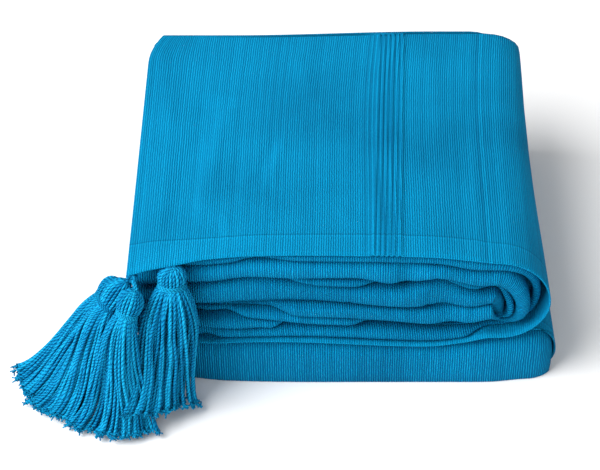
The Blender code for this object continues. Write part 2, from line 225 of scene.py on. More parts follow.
def clothFinish():
    look = clothLook
    f = Finish("ribbed_cotton")
    uv = f.node("ShaderNodeUVMap", {"uv_map": "weave"})
    sides = f.node("ShaderNodeSeparateXYZ", {}, {0: uv})
    along, across = sides.out("X") * (1 / mm), sides.out("Y") * (1 / mm)

    def cloud(scale, detail):
        values = {"Vector": uv, "Scale": scale, "Detail": detail}
        return f.node("ShaderNodeTexNoise", {"noise_dimensions": "2D"}, values)

    # the cords, with the weft over and under every other one
    drift = cloud(look["drift"][0], 2.0) * look["drift"][1]
    sway = cloud(look["sway"][0], 1.0) * look["sway"][1]
    cords = along / look["cordPitch"] + drift + sway
    number = cords.floor()
    crest = (cords * (2 * math.pi) - math.pi / 2).sine() * 0.5 + 0.5
    weft = (across * (2 * math.pi / look["weftPitch"]) + number * math.pi).sine() * 0.5 + 0.5

    # flatter in the rib band; painted light makes the top ply brighter, and painted shade makes the folded
    # plies darker
    halfBand = ribs["count"] / 2
    fromRibs = (along - look["ribStart"]) / ribs["pitch"]
    onTop = across.below(look["topPly"])
    inRibs = fromRibs.apart(halfBand).below(halfBand + 0.25) * onTop
    crest = crest * (1.0 - inRibs * look["ribFlat"][0]) + inRibs * look["ribFlat"][1]
    contrast, sunk = look["foldedContrastAndShade"]
    crest = crest * (contrast - onTop * look["topFlatAndPaintedLight"][0]) - sunk + onTop * look["topFlatAndPaintedLight"][1]
    slub = cloud(look["slub"][0], 2.0) * look["slub"][1] + 0.65
    fibre = cloud(look["fibre"][0], 3.0) * look["fibre"][1]
    height = (crest * look["cordShare"] + crest * weft * look["weftShare"]) * slub + fibre
    # painted shade: the colour follows the weave's height, darker in its grooves
    color = f.blend(height, look["groove"], look["crest"])

    # darker tone at random by cord and by patch, a darker line at the hem's seam and a lighter hem; painted
    # shade at the ribs and a painted highlight beside the seam
    streak = f.node("ShaderNodeTexWhiteNoise", {"noise_dimensions": "1D"}, {"W": number})
    patch = cloud(look["patchScale"], 4.0)
    patchTone = 1.0 - patch.power(1.5) * (1 - look["patchDark"]) * 2
    toneAndShade = (1.0 - streak * (1 - look["streakDark"])) * patchTone
    seam = across.apart(look["hemWidth"]).below(look["seamHalf"])
    # a painted highlight just on the hem's side of the seam
    under, half = look["seamHighlight"]
    seamHighlight = across.apart(look["hemWidth"] - under).below(half) * look["seamHighlightStrength"]
    hem = across.below(look["hemWidth"]) * look["hemLight"]
    toneAndShade = toneAndShade * (1.0 - seam * look["seamDark"]) + hem + seamHighlight
    # painted shade in the grooves between the ribs
    ribGroove = (fromRibs * (2 * math.pi) + math.pi / 2).sine() * 0.5 + 0.5
    toneAndShade = toneAndShade * (1.0 - inRibs * ribGroove * look["ribGrooveShade"])
    # the lone rib on the top ply: a painted highlight along its crest, and painted shade lines beside it
    lone = along.apart(look["ribStart"] + ribs["lone"] - ribs["first"])
    beside, half = look["loneRibShadeLines"]
    loneRibShadeLines = lone.apart(beside).below(half) * onTop
    loneRibHighlight = lone.below(look["loneHalf"]) * onTop
    toneAndShade = toneAndShade * (1.0 - loneRibShadeLines * look["loneRibShadeStrength"]) + loneRibHighlight * look["loneRibHighlightStrength"]
    tinted = f.blend(toneAndShade, look["darkToneAndShade"], color)
    normal = f.bump(height - seam * look["seamDepth"], look["bump"])
    f.set(Base_Color=tinted, Normal=normal, Roughness=look["roughness"], Specular_IOR_Level=look["specular"])
    return f.material


# Twisted tassel yarn

yarnLook = {
    "dark": (0.0, 0.09, 0.26),
    "light": (0.008, 0.38, 0.67),
    "pitch": 6.6,
    "strandShift": 9.0,  # turns by which one strand's twist is ahead of another's
    "patchShift": 1.6,
    "plies": 0.66,
    "fibre": 0.3,
    "patch": 0.3,
    "strand": 0.5,
    "sunk": 0.48,
    "fibreScale": 1500.0,
    "patchScale": 60.0,
    "bump": 0.0009,
    "roughness": 0.92,
    "specular": 0.04,
}


def yarnFinish():
    look = yarnLook
    f = Finish("twisted_yarn")
    place = f.node("ShaderNodeTexCoord").out("Object")
    sides = f.node("ShaderNodeSeparateXYZ", {}, {0: f.node("ShaderNodeUVMap", {"uv_map": "yarn"})})
    strand = f.node("ShaderNodeNewGeometry").out("Random Per Island")
    patch = f.node("ShaderNodeTexNoise", {}, {"Vector": place, "Scale": look["patchScale"], "Detail": 2.0})
    shift = strand * look["strandShift"] + patch * look["patchShift"]
    twist = sides.out("X") * (1 / mm / look["pitch"]) + sides.out("Y") + shift
    # painted shade: the yarn's colour follows its twist, darker between the plies and lighter on them
    plies = (twist * (2 * math.pi)).sine().apart(0.0).power(0.7)
    fibre = f.node("ShaderNodeTexNoise", {}, {"Vector": place, "Scale": look["fibreScale"], "Detail": 3.0})
    amount = plies * look["plies"] + fibre * look["fibre"] + patch * look["patch"]
    amount = amount + strand * look["strand"] - look["sunk"]
    color = f.blend(amount, look["dark"], look["light"])
    normal = f.bump(plies + fibre * 0.4, look["bump"])
    f.set(Base_Color=color, Normal=normal, Roughness=look["roughness"], Specular_IOR_Level=look["specular"])
    return f.material


# The cloth's form: heights of the lines between its front folds at places along the front

sheet = {
    "ply": 1.4,
    "rear": 336.0,
    "plyPitch": 3.1,
    "rearSteps": (0.0, 0.26, 0.37, 0.63, 0.74, 1.0),
    "rearRise": 5.0,  # of the top ply's rear towards the right
    "rearDrawIn": 14.0,  # of its left corner
    "threadLean": 0.052,
    "weaveSlip": 80.0,
    "flat": (1.47, 2.10),
}

# x is the place along the front. The rest are levels of the lines between plies, then how far the hem and
# the folds stand back.
Upper = namedtuple("Upper", "x hem ab bc cd core hemY draw")
topPass = (
    Upper(-183, 144.5, 128.0, 109.0, 103.0, 87.0, -12.0, 9.0),
    Upper(-164, 148.6, 131.0, 112.0, 107.0, 88.0, -9.5, 9.0),
    Upper(-144, 150.4, 135.0, 116.0, 112.0, 90.0, -6.0, 6.5),
    Upper(-118, 152.4, 140.6, 121.4, 117.6, 93.3, -0.4, 1.2),
    Upper(-77, 155.8, 147.8, 127.4, 123.4, 94.2, 0.6, 0.0),
    Upper(-34, 156.7, 147.4, 126.0, 118.0, 94.8, 0.4, 0.0),
    Upper(8, 156.7, 145.8, 124.6, 115.6, 94.2, 0.0, 0.0),
    Upper(54, 155.8, 144.0, 118.2, 113.4, 90.8, 0.0, 0.0),
    Upper(86, 154.2, 142.8, 127.4, 120.4, 89.8, 0.0, 0.0),
    Upper(117, 150.2, 134.8, 116.4, 108.6, 90.0, 0.0, 0.5),
    Upper(135, 146.6, 135.0, 115.4, 108.4, 96.0, 1.0, 1.0),
)
Lower = namedtuple("Lower", "x core dc cb ba foot draw")
secondPass = (
    Lower(135, 96.0, 76.0, 70.6, 66.0, 57.0, 1.0),
    Lower(115, 90.4, 69.2, 66.4, 63.0, 52.0, 0.5),
    Lower(86, 89.6, 68.2, 65.4, 62.2, 47.4, 0.0),
    Lower(51, 91.0, 72.8, 69.0, 65.0, 47.6, 0.0),
    Lower(8, 94.2, 78.8, 69.6, 66.0, 50.0, 0.0),
    Lower(-34, 94.8, 82.4, 71.0, 66.4, 52.2, 0.0),
    Lower(-77, 94.2, 86.2, 77.0, 65.4, 51.9, 0.5),
    Lower(-118, 92.6, 84.6, 77.8, 65.4, 48.8, 2.4),
    Lower(-150, 88.5, 81.0, 75.0, 63.6, 48.8, 8.0),
)
Base = namedtuple("Base", "x roof draw")
thirdPass = (
    Base(-150, 48.8, 8.0),
    Base(-105, 49.6, 2.0),
    Base(-40, 52.0, 0.0),
    Base(30, 48.8, 0.0),
    Base(95, 47.0, 0.0),
    Base(140, 52.0, 0.3),
    Base(172, 57.0, 4.0),
)
lastPassEnds = (172, -176)
middle = 25.0  # level between the third pass and the last
baseSteps = (0.032, 0.16, 0.256, 0.336, 0.448, 0.576, 0.672, 0.752, 0.856, 0.952)

# half turns from one pass to the next, about (x, z), with the radius of each front line at a quarter turn
Turn = namedtuple("Turn", "x z front rearOuter reachMid tuckMid sag inset curl")
Reach = namedtuple("Reach", "hem a b c d core")
rightTurn = Turn(
    135.0, 96.0, (51.0, 45.0, 40.5, 36.5, 27.5, 25.0, 21.5, 19.0, 7.0, 1.8), 48.0,
    Reach(3.0, 18.0, 4.0, 9.0, 13.0, 18.0), (16, 16), 23.0, 9.0, 3.0,
)
leftTurn = Turn(
    -150.0, 49.5, (1.9, 4.8, 8.0, 10.6, 14.0, 16.8, 20.0, 22.6, 28.0, 31.5), 31.5,
    Reach(16.0, 4.0, 16.0, 15.0, 14.0, 20.0), (4, 14), 0.0, 0.0, 0.0,
)
baseTurn = Turn(
    172.0, middle, (26.5, 23.5, 21.0, 18.6, 15.0, 12.4, 10.0, 7.6, 4.6, 1.8), 26.0,
    Reach(26.0, 17.0, 30.0, 31.0, 32.0, 36.0), (5, 13), 0.0, 0.0, 0.0,
)
rears = {"top": (151.0, 98.0), "second": (52.5, 94.0), "third": (48.5, 26.6), "last": (0.8, 23.4)}
Section = namedtuple("Section", "x z side front rear reach tuck flap")


def tableAt(rows, x):
    # a row of a table at any place between its rows, on a smooth curve
    way = 1 if rows[-1].x > rows[0].x else -1
    last = len(rows) - 2
    i = 0
    while i < last and way * (x - rows[i + 1].x) > 0:
        i += 1
    t = (x - rows[i].x) / (rows[i + 1].x - rows[i].x)
    before, start, end, after = (rows[min(max(i + k, 0), last + 1)] for k in (-1, 0, 1, 2))
    values = []
    for p0, p1, p2, p3 in zip(before, start, end, after):
        bend = 2 * p0 - 5 * p1 + 4 * p2 - p3
        values.append(p1 + 0.5 * t * (p2 - p0 + t * (bend + t * (3 * (p1 - p2) + p3 - p0))))
    return type(start)(*values)._replace(x=x)


def rearLevels(ends):
    return [mix(ends[0], ends[1], step) for step in sheet["rearSteps"]]


frontFolds = {
    "hemPly": 1.7,
    "thinBack": 12.0,  # how far a fold goes back that is thinner than the next two values
    "thin": 2.8,
    "thinRange": 3.4,
    "coreBack": 12.0,
    "topWave": (31, 0),
    "secondWave": (27, 2),
    "footPly": 2.2,
    "footForward": 1.0,
    "floorPly": 0.8,
    "curlRadius": 27,
}
FoldReach = namedtuple("FoldReach", "back swing pace phase")
foldReaches = (
    FoldReach(1.6, 0.5, 1.0, 0),
    FoldReach(0.3, 0.8, 1.7, 1),
    FoldReach(1.8, 0.6, 1.3, 2),
    FoldReach(0.6, 0.9, 0.9, 4),
)


def frontLevels(hem, ab, bc, cd, core, down):
    half = sheet["plyPitch"] / 2
    levels = [hem + down, hem - frontFolds["hemPly"] * down]
    for line in (ab, bc, cd):
        levels += [line + half * down, line - half * down]
    return levels + [core + 3 * half * down, core + half * down]


def drawnBack(first, second):
    # a fold that is too thin to show is pulled in behind its neighbours
    over = (abs(first - second) - frontFolds["thin"]) / frontFolds["thinRange"]
    return frontFolds["thinBack"] * (1 - ease(over))


def reachOf(levels, hem, draw, wave):
    folds = []
    for i, fold in enumerate(foldReaches):
        swing = fold.swing * math.sin(fold.pace * wave + fold.phase)
        folds.append(fold.back + draw + swing + drawnBack(levels[2 * i + 1], levels[2 * i + 2]))
    return Reach(hem, *folds, frontFolds["coreBack"] + draw)


# where a front fold stands back from the others, or forward of them
Dent = namedtuple("Dent", "fold x half depth")
upperDents = (
    Dent("b", 57, 9, 5.0),
    Dent("b", 84, 9, -2.0),
    Dent("b", 22, 14, 1.8),
    Dent("d", 92, 15, 6.0),
    Dent("d", -40, 62, 5.4),
    Dent("b", -108, 14, -1.6),
)
lowerDents = (
    Dent("c", -98, 11, 6.0),
    Dent("b", -70, 12, 2.0),
    Dent("d", 100, 14, 5.0),
    Dent("b", 40, 20, 2.0),
    Dent("a", -118, 9, 5.0),
)


def dented(reach, dents, x):
    for dent in dents:
        depth = dent.depth * math.exp(-(((x - dent.x) / dent.half) ** 2))
        reach = reach._replace(**{dent.fold: getattr(reach, dent.fold) + depth})
    return reach


def straight(x):
    return lambda level: (x, level)


# how deep the two tucks lie behind the front folds, on each pass
tucks = {"topFirst": (34, 20), "topSecond": 26, "second": (22, 20), "base": (12, 13)}
thirdBack = (9.0, 2.0, 10.0, 10.5, 10.0, 15.0)
lastBack = (8.0, 9.0, 9.0, 10.0, 9.0, 15.0)
DrawnIn = namedtuple("DrawnIn", "back start span")
lastEnds = (DrawnIn(7.0, 90, 82), DrawnIn(12.0, -58, 118))  # right and left
shallowTucks = (60, 60)  # where the first tuck of the top pass gets shallower, and over how much
rising = (-100, 200)  # the same for the rise of its rear


def topSection(x):
    row = tableAt(topPass, x)
    levels = frontLevels(row.hem, row.ab, row.bc, row.cd, row.core, 1)
    deep = (mix(*tucks["topFirst"], ease((x - shallowTucks[0]) / shallowTucks[1])), tucks["topSecond"])
    rise = sheet["rearRise"] * ease((x - rising[0]) / rising[1])
    rear = rearLevels((rears["top"][0] + rise, rears["top"][1]))
    length, phase = frontFolds["topWave"]
    reach = dented(reachOf(levels, row.hemY, row.draw, x / length + phase), upperDents, x)
    return Section(x, 0, straight(x), levels, rear, reach, deep, 0)


def secondSection(x):
    row = tableAt(secondPass, x)
    levels = frontLevels(row.foot + frontFolds["footPly"], row.ba, row.cb, row.dc, row.core, -1)
    length, phase = frontFolds["secondWave"]
    hem = -frontFolds["footForward"] + row.draw
    reach = dented(reachOf(levels, hem, row.draw, x / length + phase), lowerDents, x)
    return Section(x, 0, straight(x), levels, rearLevels(rears["second"]), reach, tucks["second"], 0)


def thirdSection(x):
    row = tableAt(thirdPass, x)
    levels = [mix(row.roof, middle, step) for step in baseSteps]
    reach = Reach(*(row.draw + back for back in thirdBack))
    return Section(x, 0, straight(x), levels, rearLevels(rears["third"]), reach, tucks["base"], 1)


def lastSection(x):
    levels = [middle * step for step in baseSteps]
    levels[0] = frontFolds["floorPly"]
    right, left = lastEnds
    drawnIn = right.back * ease((x - right.start) / right.span) + left.back * ease((left.start - x) / left.span)
    reach = Reach(*(drawnIn + back for back in lastBack))
    return Section(x, 0, straight(x), levels, rearLevels(rears["last"]), reach, tucks["base"], 0)


def turnSection(turn, way, start, end, degrees, flap):
    innerFirst = turn.front[0] < turn.front[-1]
    ends = (turn.front[0], turn.rearOuter) if innerFirst else (turn.rearOuter, turn.front[-1])
    other = start if degrees < 90 else end
    own = ease(abs(degrees / 90 - 1))
    mid = 1 - own
    front = [own * abs(z - turn.z) + mid * r for z, r in zip(other.front, turn.front)]
    rear = [own * abs(z - turn.z) + mid * r for z, r in zip(other.rear, rearLevels(ends))]
    reach = Reach(*(own * y + mid * m for y, m in zip(other.reach, turn.reachMid)))
    tuck = tuple(own * depth + mid * m for depth, m in zip(other.tuck, turn.tuckMid))
    sine, cosine = way * math.sin(math.radians(degrees)), math.cos(math.radians(degrees))
    largest = max(turn.front)
    sag, inset = turn.sag * mid / largest, turn.inset * mid / largest
    curl = turn.curl * math.sin(math.radians(3 * degrees))

    def side(level):
        radius = level + curl * max(0.0, 1 - level / frontFolds["curlRadius"])
        inner = max(0.0, largest - level)
        return turn.x + radius * sine - inset * inner, turn.z + radius * cosine - sag * inner

    return Section(turn.x, turn.z, side, front, rear, reach, tuck, flap)


def steps(start, end, pitch):
    # evenly spaced places from start up to but not including end
    count = max(1, round(abs(end - start) / pitch))
    return [mix(start, end, i / count) for i in range(count)]


# millimetres between the sections of a pass, degrees between those of a turn
stationPitch = {
    "top": 3.4,
    "rightTurn": 7.5,
    "second": 5.0,
    "leftTurn": 12,
    "third": 6.0,
    "baseTurn": 9,
    "last": 17.0,
}
beforeTurn = [130.0, 131.5, 133.0]  # the top pass's last sections
ribs = {"first": 26.0, "pitch": 4.6, "count": 6, "height": 1.35, "lone": 139.0}
# degrees of the turns at which the flap lets go, and how long it takes
flapStart = (40, 80)
flapEnd = (72, 44)


def allSections():
    p = stationPitch
    ribEnd = ribs["first"] + ribs["count"] * ribs["pitch"]
    right, left, baseRight = rightTurn.x, leftTurn.x, baseTurn.x
    top = steps(topPass[0].x, ribs["first"], p["top"]) + steps(ribs["first"], ribEnd, ribs["pitch"] / 5)
    top += steps(ribEnd, beforeTurn[0], p["top"]) + beforeTurn
    sections = [topSection(x) for x in top]
    ends = topSection(right), secondSection(right)
    for degrees in steps(0, 180, p["rightTurn"]):
        sections.append(turnSection(rightTurn, 1, *ends, degrees, 0))
    sections += [secondSection(x) for x in steps(right, left, p["second"])]
    ends = secondSection(left), thirdSection(left)
    for degrees in steps(0, 180, p["leftTurn"]):
        loose = ease((degrees - flapStart[0]) / flapStart[1])
        sections.append(turnSection(leftTurn, -1, *ends, degrees, loose))
    sections += [thirdSection(x) for x in steps(left, baseRight, p["third"])]
    ends = thirdSection(baseRight), lastSection(baseRight)
    for degrees in steps(0, 180, p["baseTurn"]):
        loose = 1 - ease((degrees - flapEnd[0]) / flapEnd[1])
        sections.append(turnSection(baseTurn, 1, *ends, degrees, loose))
    sections += [lastSection(x) for x in steps(*lastPassEnds, p["last"])]
    return sections + [lastSection(lastPassEnds[1])]


topPlyPoints = 7  # points of the profile before the first rear fold
flapFrom = 12  # first of the six points that make the flap
foldShape = {
    "outerDepths": (16, 60, 125, 195, 265),
    "innerDepths": (180, 48),
    "rearBack": 0.62,
    "rearRound": 0.5,
    "rearBulge": 0.87,
    "smallHalf": 5.0,
    "fullHalf": 6.0,
    "lip": 2.2,
}


def profile(section):
    # the sheet's section as (depth, level), from the hem on the outer ply to the hem at the core
    l1, a1, a2, b1, b2, c1, c2, d1, d2, l6 = section.front
    k, reach, rear = section.rear, section.reach, sheet["rear"]
    shape = foldShape
    inner, outward = shape["innerDepths"], shape["innerDepths"][::-1]
    points = [(reach.hem, l1)]

    def ply(frontLevel, rearLevel, depths):
        points.extend((depth, mix(frontLevel, rearLevel, ease(depth / rear))) for depth in depths)

    def rearFold(first, second):
        half, centre = abs(first - second) / 2, (first + second) / 2
        points.append((rear - shape["rearRound"] * half, mix(centre, first, shape["rearBulge"])))
        points.append((rear, centre))
        points.append((rear - shape["rearRound"] * half, mix(centre, second, shape["rearBulge"])))

    def smallFold(y, first, second):
        half = min(abs(first - second) / 2, shape["smallHalf"])
        points.extend(((y + half, first), (y, (first + second) / 2), (y + half, second)))

    def tuck(y, first, second):
        points.extend(((y, first), (y + sheet["plyPitch"] / 2, (first + second) / 2), (y, second)))

    def fullFold(y, first, second, lip=0.0):
        half = min(abs(first - second) / 2, shape["fullHalf"])
        over = lip / max(abs(first - second), lip + 1.0)
        upper = ((1.0, 0.0), (0.2, 0.2), (0.0, 0.5))
        lower = ((0.2 * (1 - over), 0.8 + over), (1.0 - 2 * over, 1.0 + over))
        for back, t in upper + lower:
            points.append((y + back * half, mix(first, second, t)))

    ply(l1, k[0], shape["outerDepths"])
    points.append((rear - shape["rearBack"] * abs(k[0] - k[1]), k[0]))
    rearFold(k[0], k[1])
    ply(a1, k[1], inner)
    smallFold(reach.a, a1, a2)
    tuck(reach.a + section.tuck[0], a2, b1)
    fullFold(reach.b, b1, b2)
    ply(b2, k[2], outward)
    rearFold(k[2], k[3])
    ply(c1, k[3], inner)
    smallFold(reach.c, c1, c2)
    tuck(reach.c + section.tuck[1], c2, d1)
    fullFold(reach.d, d1, d2, shape["lip"])
    ply(d2, k[4], outward)
    rearFold(k[4], k[5])
    ply(l6, k[5], inner)
    points.append((reach.core, l6))
    return points


def flapPoints(section, roof):
    # the first front fold of the base, let down to the floor over the folds behind it
    y, foot = section.reach.a, 1.0
    x, z = roof
    shape = (
        (y + 1.5, z - 0.5), (y - 2.0, mix(z, foot, 0.5)), (y - 1.6, foot),
        (y + 1.2, foot), (y + 1.4, mix(z, foot, 0.5)), (y + 5.0, z - sheet["plyPitch"] - 0.6),
    )
    return [(x, depth, height) for depth, height in shape]


def sectionPoints(section):
    points = []
    for depth, level in profile(section):
        x, z = section.side(level)
        points.append((x, depth, z))
    if section.flap > 0:
        for i, loose in enumerate(flapPoints(section, section.side(section.front[1])), flapFrom):
            points[i] = tuple(mix(a, b, section.flap) for a, b in zip(points[i], loose))
    return points


rowing = {"topPly": 6.0, "longFrom": 60, "long": 2, "short": 3.0, "most": 4, "leastTangent": 0.35}


def refineRows(net, wanted):
    # more points between the rows of the net, on curves that keep the long plies straight
    chord = np.diff(net, axis=1)
    length = np.linalg.norm(chord, axis=2, keepdims=True) + 1e-6
    heading = chord / length
    tangent = np.empty_like(net)
    tangent[:, 0], tangent[:, -1] = heading[:, 0], heading[:, -1]
    weighted = heading * length
    tangent[:, 1:-1] = (weighted[:, :-1] + weighted[:, 1:]) / (length[:, :-1] + length[:, 1:])
    size = np.linalg.norm(tangent, axis=2, keepdims=True)
    tangent = tangent / np.maximum(size, rowing["leastTangent"])
    fine = []
    for i, count in enumerate(wanted):
        start, end, span = net[:, i], net[:, i + 1], length[:, i]
        for j in range(count):
            t = j / count
            bent = start * (2 * t**3 - 3 * t**2 + 1) + end * (3 * t**2 - 2 * t**3)
            bent += span * (tangent[:, i] * (t**3 - 2 * t**2 + t) + tangent[:, i + 1] * (t**3 - t**2))
            fine.append(bent)
    fine.append(net[:, -1])
    return np.stack(fine, axis=1)


def rowCounts(net):
    # how many rows go between two control rows: many on the top ply and round the folds that show
    typical = np.median(np.linalg.norm(np.diff(net, axis=1), axis=2), axis=0)
    counts = []
    for i, length in enumerate(typical):
        if i < topPlyPoints - 1:
            counts.append(max(2, round(length / rowing["topPly"])))
        elif length > rowing["longFrom"]:
            counts.append(rowing["long"])
        else:
            counts.append(int(min(max(2, round(length / rowing["short"])), rowing["most"])))
    return counts


# Soft marks on the top ply: from one place to another, with a half width and a height
Crease = namedtuple("Crease", "x0 y0 x1 y1 half height")
creases = (
    Crease(-124, 214, -140, 46, 12.0, -2.8),
    Crease(-104, 205, -122, 70, 9.0, 1.6),
    Crease(-58, 162, -72, 105, 5.0, -1.3),
    Crease(-49, 156, -60, 100, 4.5, 1.2),
    Crease(-107, 215, -115, 182, 7.0, -1.2),
    Crease(-16, 186, 32, 200, 6.0, 0.8),
    Crease(-39, 83, -5, 109, 6.0, 0.9),
    Crease(-102, 56, -96, 30, 4.5, 1.0),
    Crease(-148, 46, -95, 34, 6.0, -1.2),
    Crease(-90, 146, -95, 76, 6.0, -1.0),
    Crease(93, 285, 96, 176, 8.0, 0.9),
    Crease(127, 221, 110, 76, 8.0, -1.0),
    Crease(-34, 285, -15, 206, 7.0, 0.8),
    Crease(1, 56, 18, 33, 5.0, 0.8),
    Crease(-170, 300, -158, 190, 7.0, 1.2),
    Crease(-90, 24.5, 20, 24.5, 3.6, 0.6),
    Crease(50, 24.5, 120, 24.5, 3.6, 0.5),
)
FrontRib = namedtuple("FrontRib", "x low high half height")
frontRibs = (
    FrontRib(-23, 129, 147, 2.6, 0.9),
    FrontRib(7.7, 97, 116, 3.0, 0.9),
    FrontRib(77.7, 92, 112, 2.6, 0.8),
    FrontRib(84, 122, 144, 5.0, 1.0),
    FrontRib(144.6, 2, 48, 2.6, 1.0),
)

# where the small ribs stop, how the top ply's marks are limited, and how it leans and draws in
surface = {
    "frontReach": 20,  # how far back a small rib on the front folds is raised
    "sink": 0.7,  # how deep a mark may go at the hem, and how much deeper for each millimetre behind it
    "sinkSlope": 0.012,
    "leanLevel": (108, 40),  # the level where the lean begins, and how far up it is full
    "leanFromEdge": 190,
    "drawInDepth": (285, 50),
    "drawInLevel": (132, 14),
    "drawInWidth": 60,
}


def creaseHeight(x, y, crease):
    dx, dy = crease.x1 - crease.x0, crease.y1 - crease.y0
    t = np.clip(((x - crease.x0) * dx + (y - crease.y0) * dy) / (dx * dx + dy * dy), 0, 1)
    away = np.hypot(x - crease.x0 - t * dx, y - crease.y0 - t * dy)
    return crease.height * np.exp(-((away / crease.half) ** 2))


def pulse(distance, half):
    return np.where(np.abs(distance) < half, 0.5 + 0.5 * np.cos(np.pi * distance / half), 0.0)


def surfaceLift(points, startX, rows):
    # how far each point is raised along its normal, for ribs and creases
    lift = np.zeros(points.shape[:2])
    x, y = points[..., 0], points[..., 1]
    onTop = (np.arange(points.shape[1]) < rows)[None, :] * np.ones((points.shape[0], 1))
    for i in range(ribs["count"]):
        centre = ribs["first"] + (i + 0.5) * ribs["pitch"]
        lift += ribs["height"] * pulse(startX[:, None] - centre, ribs["pitch"] / 2) * onTop
    for rib in frontRibs:
        near = (y < surface["frontReach"]) * (points[..., 2] > rib.low) * (points[..., 2] < rib.high)
        lift += rib.height * pulse(x - rib.x, rib.half) * near
    for crease in creases:
        lift += creaseHeight(x, y, crease) * onTop
    # the top ply never sinks into the one under it
    return np.maximum(lift, -surface["sink"] - surface["sinkSlope"] * np.maximum(y, 0))


def share(values, start, span):
    return np.clip((values - start) / span, 0, 1)


def leanAndDrawIn(points, rows):
    depths, levels = points[..., 1], points[..., 2]
    leftEdge = topPass[0].x

    # the warp of the top ply leans to the right towards the rear
    fromEdge = np.array([ease((x - leftEdge) / surface["leanFromEdge"]) for x in points[:, 0, 0]])
    high = share(levels, *surface["leanLevel"])
    leaning = high * high * (3 - 2 * high) * (np.arange(points.shape[1]) < rows)[None, :]
    points[..., 0] += leaning * sheet["threadLean"] * np.maximum(depths, 0) * fromEdge[:, None]

    # and its left edge draws in towards the rear, above the folds that step out below it
    rearward = share(depths, *surface["drawInDepth"]) * share(levels, *surface["drawInLevel"])
    atEdge = np.array([1 - ease((x - leftEdge) / surface["drawInWidth"]) for x in points[:, 0, 0]])
    points[..., 0] += sheet["rearDrawIn"] * rearward * rearward * atEdge[:, None]


def raiseMarks(points, startX, rows):
    along = np.gradient(points, axis=0)
    across = np.gradient(points, axis=1)
    normal = np.cross(along, across)
    normal /= np.linalg.norm(normal, axis=2, keepdims=True) + 1e-9
    normal *= np.sign(normal[5, 5, 2])
    points = points + normal * surfaceLift(points, startX, rows)[..., None]
    points[..., 2] = np.maximum(points[..., 2], sheet["ply"] / 2)
    return points


def weaveLengths(points):
    # lengths along and across the cloth, for its weave
    typical = np.median(np.linalg.norm(np.diff(points, axis=1), axis=2), axis=0)
    v = np.concatenate([[0], np.cumsum(typical)])
    near = np.exp(-0.5 * ((v[:, None] - v[None, :]) / sheet["weaveSlip"]) ** 2)
    pace = np.linalg.norm(np.diff(points, axis=0), axis=2) @ (near / near.sum(axis=0))
    return np.concatenate([np.zeros((1, points.shape[1])), np.cumsum(pace, axis=0)]), v


def makeCloth():
    sections = allSections()
    startX = np.array([s.x if s.z == 0 and s.front[0] > 140 else 1e4 for s in sections])  # top pass only
    net = np.array([sectionPoints(section) for section in sections])
    counts = rowCounts(net)
    points = refineRows(net, counts)
    rows = sum(counts[: topPlyPoints - 1]) + 1
    columns, depth = points.shape[0], points.shape[1]
    leanAndDrawIn(points, rows)
    points = raiseMarks(points, startX, rows)
    s, v = weaveLengths(points)

    bm = bmesh.new()
    bmesh.ops.create_grid(bm, x_segments=columns - 1, y_segments=depth - 1, size=0.5)
    weave = bm.loops.layers.uv.new("weave")
    for vert in bm.verts:
        column = round((vert.co.x + 0.5) * (columns - 1))
        row = round((vert.co.y + 0.5) * (depth - 1))
        vert.co = inFrame(points[column, row])
        for loop in vert.link_loops:
            loop[weave].uv = (s[column, row] * mm, v[row] * mm)
    bmesh.ops.recalc_face_normals(bm, faces=bm.faces)
    cloth = pieceFrom(bm, "throw_cloth", clothFinish())
    solid = cloth.modifiers.new("ply", "SOLIDIFY")
    solid.thickness = sheet["ply"] * mm
    solid.offset = 0
    print("cloth", columns, "columns", depth, "rows", 4 * (columns - 1) * (depth - 1), "triangles")
    return cloth


# Tassels

Tassel = namedtuple(
    "Tassel",
    "name girth neckShare anchor bends top neck firstEnd middleEnd lastEnd "
    "depth bendShare bendHeight swell strands lift",
)
knot = (-179.0, -8.0, 139.0)

# girth of the head and its share at the neck; where the cord is tied and its bends; the head's top and neck;
# the ends of the skirt on the floor from left to right; how the skirt falls
tassels = (
    Tassel(
        "tassel_front_right", 13.4, 0.88,
        (-144.0, -2.0, 151.0), (), (-144.0, -5.0, 149.0), (-144.5, -9.0, 132.5),
        (-188, -63), (-161, -59), (-128, -31), 30, 0.5, 30, 2.5, 158, 20,
    ),
    Tassel(
        "tassel_front_middle", 11.6, 0.78,
        knot, (), (-175.5, -22.0, 137.5), (-183.0, -29.5, 117.0),
        (-235, -56), (-200, -73), (-162, -62), 22, 0.45, 20, 1.8, 148, 0,
    ),
    Tassel(
        "tassel_left_upper", 12.2, 0.76,
        knot, (), (-184.5, -5.0, 133.0), (-200.5, -13.0, 110.0),
        (-277, -30), (-255, -47), (-226, -59), 22, 0.45, 22, 1.5, 122, 0,
    ),
    Tassel(
        "tassel_left_lower", 10.8, 0.8,
        knot, ((-186.0, 5.0, 125.0),), (-195.5, 16.5, 114.0), (-207.0, 13.5, 95.5),
        (-288, 13), (-286, -13), (-262, -40), 22, 0.5, 26, 1.4, 136, 0,
    ),
)

